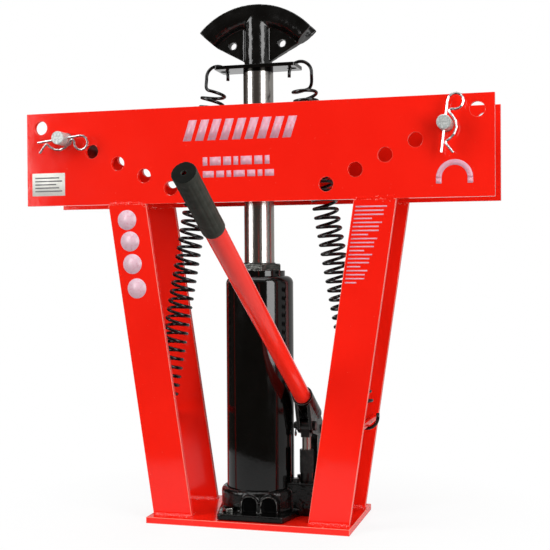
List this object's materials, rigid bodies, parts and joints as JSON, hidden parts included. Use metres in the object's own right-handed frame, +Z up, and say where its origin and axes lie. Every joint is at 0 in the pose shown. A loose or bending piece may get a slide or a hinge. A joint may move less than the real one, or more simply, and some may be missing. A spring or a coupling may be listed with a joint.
{
  "type": "hydraulic pipe bender",
  "caption": "Welded workshop frame with drilled side plates, rollers on pins, and a hand-pumped bottle jack that pushes a grooved former up to bend pipe; springs return the ram.",
  "frame": {"origin": "middle of the base plate's underside, under the ram's axis", "axes": "+Z up along the ram, +X along the side plates to the pump side, -Y to the front where the handle points"},
  "size_m": [0.6, 0.5076, 0.6515],
  "materials": {
    "frame_paint": "bright red gloss paint on steel",
    "spring_steel": "black spring wire",
    "casting_paint": "thick black paint on a rough casting",
    "jack_paint": "gloss black paint on smooth steel",
    "black_steel": "blackened machined steel",
    "ram_chrome": "hard chrome plated, polished, with fine running marks",
    "former_iron": "cast iron under thick gloss black paint",
    "bright_steel": "ground steel",
    "zinc_plate": "bright zinc plating",
    "seal_rubber": "matt black rubber",
    "grip_rubber": "dark grey moulded rubber with long flutes"
  },
  "bodies": {
    "frame": {"base_plate": "frame_paint", "front_side_plate": "frame_paint", "rear_side_plate": "frame_paint", "front_left_leg": "frame_paint", "front_right_leg": "frame_paint", "rear_left_leg": "frame_paint", "rear_right_leg": "frame_paint", "left_spring_rod": "frame_paint", "right_spring_rod": "frame_paint", "left_return_spring": "spring_steel", "right_return_spring": "spring_steel", "jack_base": "casting_paint", "jack_bolts": "black_steel", "reservoir_gasket": "seal_rubber", "reservoir_tube": "jack_paint", "oil_filler_plug": "seal_rubber", "cylinder_tube": "bright_steel", "jack_head": "jack_paint", "gland_nut": "black_steel", "ram_wiper_seal": "seal_rubber", "pump_cylinder": "black_steel", "suction_ball": "bright_steel", "delivery_ball": "bright_steel", "valve_plugs": "black_steel", "release_ball": "bright_steel", "link_pin": "black_steel"},
    "ram": {"ram": "ram_chrome", "piston_seal": "seal_rubber", "spring_plate": "black_steel"},
    "former": {"bending_former": "former_iron"},
    "link": {"swing_link": "zinc_plate"},
    "lever": {"handle_socket": "casting_paint", "fulcrum_pin": "black_steel"},
    "plunger": {"pump_plunger": "bright_steel", "plunger_seal": "seal_rubber", "plunger_pin": "black_steel", "plunger_pin_washer": "black_steel", "plunger_pin_cotter": "zinc_plate"},
    "handle": {"handle_tube": "frame_paint", "handle_grip": "grip_rubber"},
    "release_screw": {"release_valve": "black_steel", "release_seal": "seal_rubber"},
    "left_pin": {"left_roller_pin": "zinc_plate", "left_retaining_clip": "zinc_plate"},
    "right_pin": {"right_roller_pin": "zinc_plate", "right_retaining_clip": "zinc_plate"},
    "left_roller": {"left_roller": "black_steel"},
    "right_roller": {"right_roller": "black_steel"}
  },
  "joints": [
    {"name": "ram_slide", "type": "slide", "parent": "frame", "child": "ram", "axis": [0, 0, 1], "range_m": [-0.24, 0], "deforming": ["left_return_spring", "right_return_spring"]},
    {"name": "former_lift", "type": "slide", "parent": "ram", "child": "former", "axis": [0, 0, 1], "range_m": [0, 0.045]},
    {"name": "link_swing", "type": "hinge", "parent": "frame", "child": "link", "pos_m": [0.0605, 0.045, 0.034], "axis": [1, 0, 0], "range_deg": [-2.5, 1.9]},
    {"name": "handle_pump", "type": "hinge", "parent": "link", "child": "lever", "pos_m": [0.0605, 0.045, 0.108], "axis": [1, 0, 0], "range_deg": [-16, 22]},
    {"name": "plunger_slide", "type": "slide", "parent": "frame", "child": "plunger", "axis": [0, 0, 1], "range_m": [-0.0156, 0.0113]},
    {"name": "handle_pull", "type": "slide", "parent": "lever", "child": "handle", "axis": [0, -0.859, 0.512], "range_m": [0, 0.04]},
    {"name": "release_turn", "type": "hinge", "parent": "frame", "child": "release_screw", "pos_m": [0.0845, 0, 0.026], "axis": [1, 0, 0], "range_deg": [0, 360]},
    {"name": "left_pin_turn", "type": "hinge", "parent": "frame", "child": "left_pin", "pos_m": [-0.244, 0, 0.486], "axis": [0, 1, 0], "continuous": true},
    {"name": "right_pin_turn", "type": "hinge", "parent": "frame", "child": "right_pin", "pos_m": [0.244, 0, 0.486], "axis": [0, 1, 0], "continuous": true},
    {"name": "left_roller_turn", "type": "hinge", "parent": "left_pin", "child": "left_roller", "pos_m": [-0.244, 0, 0.486], "axis": [0, 1, 0], "continuous": true},
    {"name": "right_roller_turn", "type": "hinge", "parent": "right_pin", "child": "right_roller", "pos_m": [0.244, 0, 0.486], "axis": [0, 1, 0], "continuous": true}
  ],
  "couplings": [
    {"joint": "link_swing", "follows": "handle_pump", "ratio": -0.1067},
    {"joint": "plunger_slide", "follows": "handle_pump", "m_per_rad": -0.0399}
  ]
}
